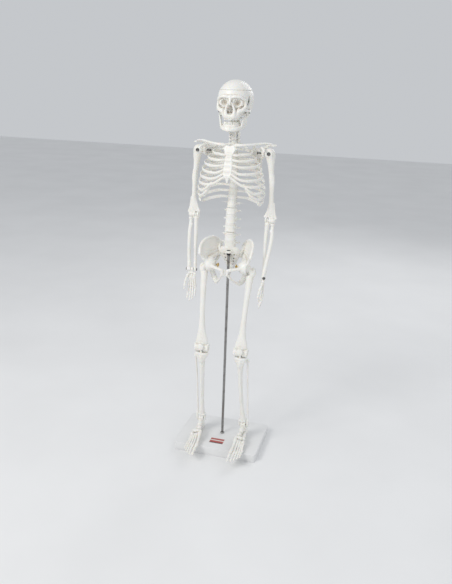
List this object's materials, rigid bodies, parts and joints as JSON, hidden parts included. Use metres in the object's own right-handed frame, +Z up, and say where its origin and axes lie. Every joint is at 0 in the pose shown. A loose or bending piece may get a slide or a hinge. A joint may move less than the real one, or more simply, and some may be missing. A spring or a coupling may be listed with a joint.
{
  "type": "human skeleton model",
  "caption": "Half-size human skeleton teaching model on a rod and base plate, with hinged arms, legs and jaw, a turning head and a lift-off skull cap.",
  "frame": {"origin": "middle of the base plate's underside", "axes": "+Z up along the rod, -Y is the skeleton's front, +X is the skeleton's own left"},
  "size_m": [0.2056, 0.2004, 0.85],
  "materials": {
    "bone": "semi-gloss ivory moulded plastic, a little darker in the hollows",
    "cartilage": "satin, slightly softer than the bones",
    "base_plate": "fine moulded grain, light grey",
    "label": "printed sticker, satin, no lettering",
    "rod": "bright chrome plate",
    "ferrule": "black, dull",
    "steel": "dark zinc, worn on the edges",
    "brass": "turned brass"
  },
  "bodies": {
    "stand": {"base_shell": "base_plate", "base_cover": "base_plate", "cover_screws": "steel", "base_label": "label", "support_rod": "rod", "rod_collar": "rod", "rod_nut": "steel"},
    "torso": {"rod_bush": "ferrule", "sacrum": "bone", "hip_bone_right": "bone", "hip_bone_left": "bone", "pubic_symphysis": "cartilage", "hip_screws": "brass", "lumbar_vertebrae": "bone", "thoracic_vertebrae": "bone", "cervical_vertebrae": "bone", "intervertebral_discs": "cartilage", "ribs_right": "bone", "ribs_left": "bone", "costal_cartilages": "cartilage", "sternum": "bone", "clavicle_right": "bone", "clavicle_left": "bone", "scapula_right": "bone", "scapula_left": "bone", "neck_pin": "steel"},
    "skull": {"skull_base": "bone", "jaw_pins": "steel"},
    "cap": {"skull_cap": "bone"},
    "jaw": {"mandible": "bone"},
    "right_shoulder": {"shoulder_eye_right": "steel"},
    "right_upper_arm": {"humerus_right": "bone", "shoulder_bolt_right": "steel", "elbow_pin_right": "steel"},
    "right_forearm": {"ulna_right": "bone", "radius_right": "bone", "wrist_screw_right": "steel"},
    "right_hand": {"hand_right": "bone"},
    "right_thigh": {"femur_right": "bone", "patella_right": "bone", "knee_pin_right": "steel"},
    "right_shin": {"tibia_right": "bone", "fibula_right": "bone", "ankle_pin_right": "steel"},
    "right_foot": {"foot_right": "bone"},
    "left_shoulder": {"shoulder_eye_left": "steel"},
    "left_upper_arm": {"humerus_left": "bone", "shoulder_bolt_left": "steel", "elbow_pin_left": "steel"},
    "left_forearm": {"ulna_left": "bone", "radius_left": "bone", "wrist_screw_left": "steel"},
    "left_hand": {"hand_left": "bone"},
    "left_thigh": {"femur_left": "bone", "patella_left": "bone", "knee_pin_left": "steel"},
    "left_shin": {"tibia_left": "bone", "fibula_left": "bone", "ankle_pin_left": "steel"},
    "left_foot": {"foot_left": "bone"}
  },
  "joints": [
    {"name": "torso_swivel", "type": "hinge", "parent": "stand", "child": "torso", "pos_m": [0, 0, 0.48], "axis": [0, 0, 1], "continuous": true},
    {"name": "head_turn", "type": "hinge", "parent": "torso", "child": "skull", "pos_m": [0, 0.009, 0.777], "axis": [0, 0, 1], "range_deg": [-60, 60]},
    {"name": "jaw_open", "type": "hinge", "parent": "skull", "child": "jaw", "pos_m": [0, 0.002, 0.784], "axis": [1, 0, 0], "range_deg": [0, 21], "stiffness_Nm_per_rad": 0.06, "springref_deg": -11.46},
    {"name": "cap_lift", "type": "slide", "parent": "skull", "child": "cap", "axis": [0, 0, 1], "range_m": [0, 0.035]},
    {"name": "right_shoulder_swing", "type": "hinge", "parent": "torso", "child": "right_shoulder", "pos_m": [-0.079, 0.012, 0.702], "axis": [-1, 0, 0], "range_deg": [-40, 120]},
    {"name": "right_shoulder_raise", "type": "hinge", "parent": "right_shoulder", "child": "right_upper_arm", "pos_m": [-0.079, 0.012, 0.702], "axis": [0, 1, 0], "range_deg": [0, 75]},
    {"name": "right_elbow", "type": "hinge", "parent": "right_upper_arm", "child": "right_forearm", "pos_m": [-0.0885, 0.013, 0.558], "axis": [-1, 0, 0], "range_deg": [0, 110]},
    {"name": "right_wrist", "type": "hinge", "parent": "right_forearm", "child": "right_hand", "pos_m": [-0.0835, -0.006, 0.434], "axis": [-1, 0, 0], "range_deg": [-60, 60]},
    {"name": "left_shoulder_swing", "type": "hinge", "parent": "torso", "child": "left_shoulder", "pos_m": [0.079, 0.012, 0.702], "axis": [-1, 0, 0], "range_deg": [-40, 120]},
    {"name": "left_shoulder_raise", "type": "hinge", "parent": "left_shoulder", "child": "left_upper_arm", "pos_m": [0.079, 0.012, 0.702], "axis": [0, -1, 0], "range_deg": [0, 75]},
    {"name": "left_elbow", "type": "hinge", "parent": "left_upper_arm", "child": "left_forearm", "pos_m": [0.0885, 0.013, 0.558], "axis": [-1, 0, 0], "range_deg": [0, 110]},
    {"name": "left_wrist", "type": "hinge", "parent": "left_forearm", "child": "left_hand", "pos_m": [0.0835, -0.006, 0.434], "axis": [-0.2588, 0.9659, 0], "range_deg": [-60, 12]},
    {"name": "right_hip", "type": "hinge", "parent": "torso", "child": "right_thigh", "pos_m": [-0.0425, -0.0107, 0.4517], "axis": [-1, 0, 0], "range_deg": [0, 95]},
    {"name": "right_knee", "type": "hinge", "parent": "right_thigh", "child": "right_shin", "pos_m": [-0.0465, -0.0377, 0.2579], "axis": [1, 0, 0], "range_deg": [0, 95]},
    {"name": "right_ankle", "type": "hinge", "parent": "right_shin", "child": "right_foot", "pos_m": [-0.053, -0.0062, 0.0577], "axis": [-1, 0, 0], "range_deg": [0, 24]},
    {"name": "left_hip", "type": "hinge", "parent": "torso", "child": "left_thigh", "pos_m": [0.0425, -0.0107, 0.4517], "axis": [-1, 0, 0], "range_deg": [0, 95]},
    {"name": "left_knee", "type": "hinge", "parent": "left_thigh", "child": "left_shin", "pos_m": [0.0465, -0.0377, 0.2579], "axis": [1, 0, 0], "range_deg": [0, 95]},
    {"name": "left_ankle", "type": "hinge", "parent": "left_shin", "child": "left_foot", "pos_m": [0.053, -0.0062, 0.0577], "axis": [-1, 0, 0], "range_deg": [0, 24]}
  ],
  "couplings": [
    {"joint": "right_knee", "follows": "right_hip", "ratio": 1},
    {"joint": "right_ankle", "follows": "right_hip", "ratio": 0.25},
    {"joint": "left_knee", "follows": "left_hip", "ratio": 1},
    {"joint": "left_ankle", "follows": "left_hip", "ratio": 0.25}
  ]
}
